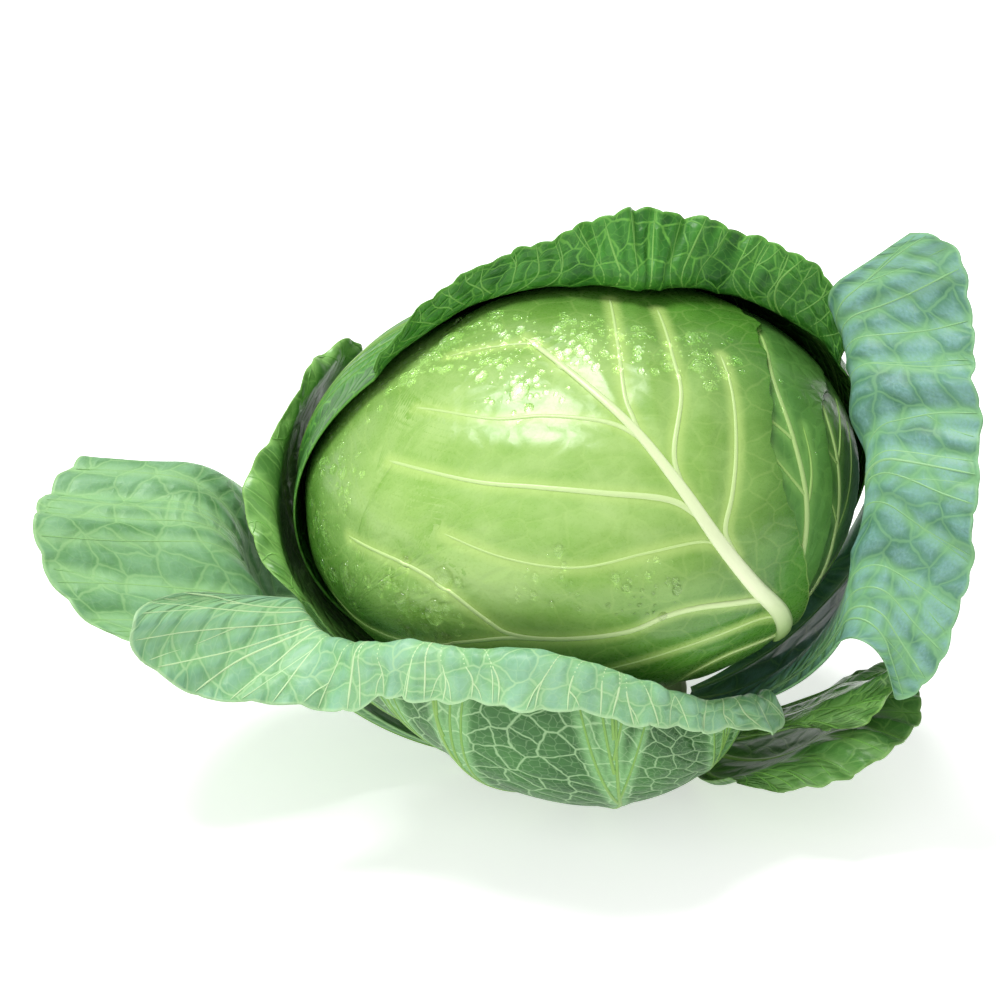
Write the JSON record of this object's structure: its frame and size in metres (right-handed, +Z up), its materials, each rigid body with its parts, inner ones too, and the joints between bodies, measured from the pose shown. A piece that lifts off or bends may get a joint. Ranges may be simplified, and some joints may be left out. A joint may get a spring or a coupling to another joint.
{
  "type": "cabbage head",
  "caption": "Tight round head of cabbage with a folded-back hood leaf over it and loose, ribbed wrapper leaves spread round its cut stem.",
  "frame": {"origin": "centre of the cut face of the stem, on the surface the cabbage lies on", "axes": "+Z up out of the stem into the head, -Y towards the open front that shows the head's cover leaf, +X towards the tall right-hand wrapper leaf"},
  "size_m": [0.3127, 0.2298, 0.1977],
  "materials": {
    "head": "waxy light green leaf, wet",
    "stem": "pale cut stalk",
    "hood_leaf": "vivid green leaf with paler veins",
    "curl_leaf": "mid green leaf",
    "right_leaf": "blue-green leaf with a matt bloom",
    "small_leaf": "ruffled green leaf, wet",
    "front_leaf": "pale blue-green leaf with cream veins",
    "rear_leaf": "dark green leaf",
    "left_leaf": "green leaf with pale veins",
    "low_leaf": "dark green leaf with a pale rib"
  },
  "bodies": {
    "root": {"head": "head", "stem": "stem", "hood_leaf": "hood_leaf", "curl_leaf": "curl_leaf", "right_leaf": "right_leaf", "small_leaf": "small_leaf", "front_leaf": "front_leaf", "rear_leaf": "rear_leaf", "left_leaf": "left_leaf", "low_leaf": "low_leaf"}
  },
  "joints": []
}
